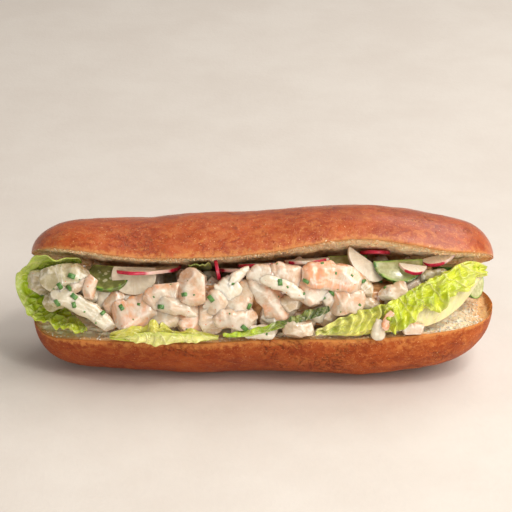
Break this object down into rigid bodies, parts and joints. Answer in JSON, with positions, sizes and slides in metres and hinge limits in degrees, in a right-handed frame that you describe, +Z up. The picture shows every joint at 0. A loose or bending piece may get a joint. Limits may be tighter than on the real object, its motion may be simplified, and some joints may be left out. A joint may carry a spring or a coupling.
{
  "type": "shrimp roll",
  "caption": "Long soft bread roll split along its front and filled with creamy shrimp salad, lettuce leaves, radish slices and cucumber slices.",
  "frame": {"origin": "middle of the sandwich's footprint, on the plane that it rests on", "axes": "+X along the roll towards its right end as seen from the open side, -Y towards the open side that shows the filling, +Z up"},
  "size_m": [0.2078, 0.072, 0.0728],
  "materials": {
    "bun": "egg-washed bread crust, satin, with pale torn crumb on the cut faces",
    "lettuce": "fresh lettuce leaf, satin",
    "pale_lettuce": "pale yellow lettuce leaf, satin",
    "shrimp": "cooked shrimp wet with creamy dressing",
    "radish": "moist white radish flesh with a red skin at the rim",
    "cucumber": "moist pale green cucumber flesh with a dark green skin"
  },
  "bodies": {
    "root": {"bun": "bun", "lettuce_left": "lettuce", "lettuce_top": "lettuce", "lettuce_front_left": "pale_lettuce", "lettuce_middle": "lettuce", "lettuce_right": "lettuce", "loose_shrimp_1": "shrimp", "loose_shrimp_2": "shrimp", "shrimp_salad": "shrimp", "radish_slice_1": "radish", "radish_slice_2": "radish", "radish_slice_3": "radish", "radish_slice_4": "radish", "radish_slice_5": "radish", "radish_slice_6": "radish", "radish_slice_7": "radish", "radish_slice_8": "radish", "radish_slice_9": "radish", "radish_slice_10": "radish", "cucumber_slice_1": "cucumber", "cucumber_slice_2": "cucumber", "cucumber_slice_3": "cucumber", "cucumber_slice_4": "cucumber", "cucumber_slice_5": "cucumber"}
  },
  "joints": []
}
